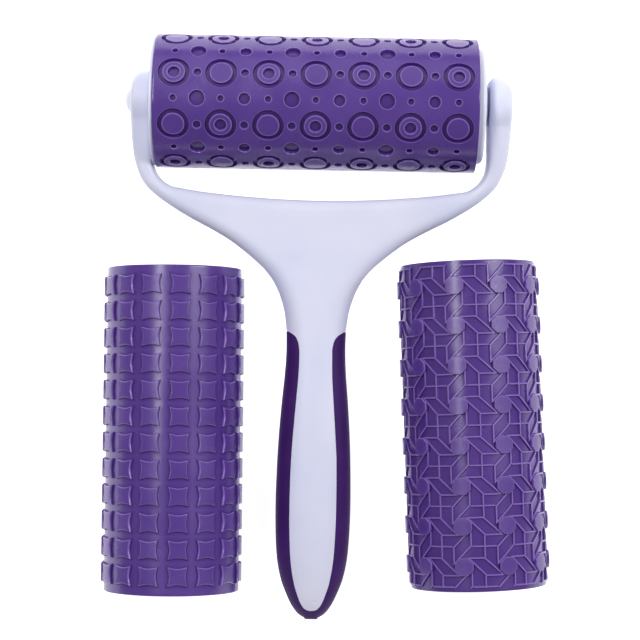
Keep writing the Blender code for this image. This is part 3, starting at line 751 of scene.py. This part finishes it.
def ridge(corners, hollow):
    """A low wall on a four-sided field, or round its border when it is hollow."""
    bpy.ops.mesh.primitive_circle_add(vertices=4, radius=MM, fill_type="NGON", location=(0.0, 0.0, 0.0))
    line = bpy.context.object
    for vert, corner in zip(line.data.vertices, corners):
        vert.co = flat_spot(*corner)
    if hollow:
        bpy.ops.object.mode_set(mode="EDIT")
        bpy.ops.mesh.select_mode(type="FACE")
        bpy.ops.mesh.select_all(action="SELECT")
        bpy.ops.mesh.inset(thickness=RIDGE_WIDTH * MM)
        bpy.ops.mesh.delete(type="FACE")
        bpy.ops.object.mode_set(mode="OBJECT")
    ends = line.data.vertices
    for edge in line.data.edges:
        edge.select = (ends[edge.vertices[0]].co - ends[edge.vertices[1]].co).length > 2.0 * MM
    bpy.ops.object.mode_set(mode="EDIT")
    bpy.ops.mesh.select_mode(type="EDGE")
    bpy.ops.mesh.subdivide(number_cuts=2)
    bpy.ops.mesh.select_all(action="SELECT")
    bpy.ops.mesh.extrude_region_move(
        TRANSFORM_OT_translate={"value": (0.0, 0.0, (RIDGE_HEIGHT - RIDGE_ROOT - RIDGE_CHAMFER) * MM)})
    bpy.ops.mesh.inset(thickness=RIDGE_CHAMFER * 0.8 * MM)
    bpy.ops.transform.translate(value=(0.0, 0.0, RIDGE_CHAMFER * MM))
    bpy.ops.mesh.select_all(action="SELECT")
    bpy.ops.mesh.normals_make_consistent(inside=False)
    bpy.ops.object.mode_set(mode="OBJECT")
    # The ridge's crown gets a painted highlight, its sides painted shade.
    shade = line.data.attributes.new("painted_light", "FLOAT", "POINT")
    crown = (RIDGE_HEIGHT - 0.01) * MM
    shade.data.foreach_set("value", [1.0 if vert.co.z > crown else FOOT_PAINTED_SHADE for vert in line.data.vertices])
    line.select_set(False)
    return line


def ridge_bar(start, end):
    """A straight ridge between two spots, along one of the grid's two directions."""
    (u, v), (w, z) = start, end
    across = (0.0, RIDGE_WIDTH / 2.0) if v == z else (RIDGE_WIDTH / 2.0, 0.0)
    return ridge([(u - across[0], v - across[1]), (w - across[0], z - across[1]),
                  (w + across[0], z + across[1]), (u + across[0], v + across[1])], False)


# A star's arms, given from the middle of the stud at its upper left: a field
# that leans to the next stud, a field below this one, and a cross between them.
LEANING_FIELD = [(0.6, -2.9), (6.1, -2.9), (12.3, 2.9), (6.3, 2.9)]
STANDING_FIELD = [(-3.4, 6.1), (-3.4, 11.9), (2.5, 5.9), (2.5, 0.2)]
arms = [ridge(LEANING_FIELD, True), ridge(STANDING_FIELD, True),
        ridge_bar((6.2, 2.7), (6.2, 9.4)), ridge_bar((2.4, 6.0), (9.8, 6.0))]
motif = laid_out("star_arms", [(arm, 0.0, 0.0) for arm in arms])
motif.select_set(False)
nub_columns = [2.0 * nub_half * column for column in range(NUB_AROUND)]
nub_rows = [(row - (NUB_ROWS - 1) / 2.0) * NUB_PITCH for row in range(NUB_ROWS + 1)]
ridges = laid_out("star_ridges", [(motif, x, y) for x in nub_rows for y in nub_columns])
bpy.ops.object.mode_set(mode="EDIT")
for side in (1.0, -1.0):
    bpy.ops.mesh.select_all(action="SELECT")
    bpy.ops.mesh.bisect(plane_co=(side * (SLEEVE_HALF - RIDGE_MARGIN) * MM, 0.0, 0.0),
                        plane_no=(side, 0.0, 0.0), clear_outer=True)
    bpy.ops.mesh.select_all(action="SELECT")
    bpy.ops.mesh.fill_holes(sides=0)
bpy.ops.mesh.select_all(action="SELECT")
bpy.ops.mesh.normals_make_consistent(inside=False)
bpy.ops.object.mode_set(mode="OBJECT")
rolled(ridges, -NUB_TURN)
ridges.select_set(False)

# The stud's rim gets a painted highlight, its foot and the field round it painted shade.
nub = relief_tile("nub", [
    (NUB_RADIUS * 0.45, NUB_HEIGHT, 0.0), (NUB_RADIUS - 0.35, NUB_HEIGHT, 0.1),
    (NUB_RADIUS - 0.24, NUB_HEIGHT, 0.9), (NUB_RADIUS - 0.04, NUB_HEIGHT - 0.20, 0.6),
    (NUB_RADIUS + 0.04, 0.0, -1.0), (NUB_RADIUS + 0.4, 0.0, FIELD_PAINTED_SHADE)],
    tile_border(NUB_PITCH / 2.0, nub_half, 8, 8), nub_outline, FIELD_PAINTED_SHADE)
star_sleeve = laid_out("star_sleeve_moulded", [(nub, x, y) for x in nub_rows[:-1] for y in nub_columns])
rolled(star_sleeve, -NUB_TURN)
closed_sleeve(star_sleeve)
ridges.select_set(True)
bpy.ops.object.join()
bpy.ops.object.shade_smooth_by_angle(angle=math.radians(40.0))
laid_sleeve(star_sleeve, "star_sleeve")

# ---- Floor, light and camera ------------------------------------------------
# The set lies on a pale table.  Two soft strips and a wide box light it from
# above, an even white room fills the shadows, and the camera looks down on it.
FLOOR_DROP = 0.04                   # clears the lowest pads of the loose sleeves
FLOOR_GLOW = 0.85
ROOM_GLOW = 0.262
floor_paint = plastic("floor_paint", (0.900, 0.900, 0.900), (0.915, 0.915, 0.915), (0.7, 0.8), 2.0, 300.0,
                      0.00001)
bpy.ops.mesh.primitive_plane_add(size=3.0, location=(0.0, 0.0, -FLOOR_DROP * MM))
floor = bpy.context.object
floor.name = "floor"
floor_shader = floor_paint.node_tree.nodes["Principled BSDF"]
floor_shader.inputs["Emission Color"].default_value = (1.0, 1.0, 1.0, 1.0)
floor_shader.inputs["Emission Strength"].default_value = FLOOR_GLOW
floor.data.materials.append(floor_paint)
floor.select_set(False)

world = bpy.data.worlds.new("studio")
world.use_nodes = True
room = world.node_tree.nodes["Background"]
room.inputs["Color"].default_value = (1.0, 1.0, 1.0, 1.0)
room.inputs["Strength"].default_value = ROOM_GLOW
bpy.context.scene.world = world
bpy.context.scene.view_settings.view_transform = "Standard"


def soft_box(name, place, aim, size, power):
    """A rectangular studio light, pointed at a spot."""
    lamp = bpy.data.lights.new(name, "AREA")
    lamp.shape = "RECTANGLE"
    lamp.size, lamp.size_y = size
    lamp.energy = power
    stand = bpy.data.objects.new(name, lamp)
    bpy.context.scene.collection.objects.link(stand)
    stand.location = place
    stand.rotation_euler = (Vector(aim) - Vector(place)).to_track_quat("-Z", "Y").to_euler()


soft_box("strip_left", (-0.41, 0.31, 0.95), (-0.41, 0.20, 0.0), (0.17, 0.70), 5.6)
soft_box("strip_right", (0.96, 0.31, 1.00), (0.05, 0.20, 0.0), (0.16, 0.70), 8.8)
soft_box("back_box", (0.0, 1.10, 0.80), (0.0, 0.0, 0.02), (1.8, 1.00), 4.5)

CAMERA_PLACE = (0.00070, -0.02265, 0.614)
CAMERA_ROLL = math.radians(1.1)
CAMERA_TILT = math.radians(2.4476)
CAMERA_PAN = math.radians(0.272)
CAMERA_LENS = 106.6
lens = bpy.data.cameras.new("camera")
lens.lens = CAMERA_LENS
lens.sensor_width = 36.0
lens.clip_start = 0.01
camera = bpy.data.objects.new("camera", lens)
bpy.context.scene.collection.objects.link(camera)
camera.matrix_world = (Matrix.Translation(CAMERA_PLACE) @ Matrix.Rotation(CAMERA_ROLL, 4, "Z")
                       @ Matrix.Rotation(CAMERA_TILT, 4, "X") @ Matrix.Rotation(CAMERA_PAN, 4, "Y"))
bpy.context.scene.camera = camera
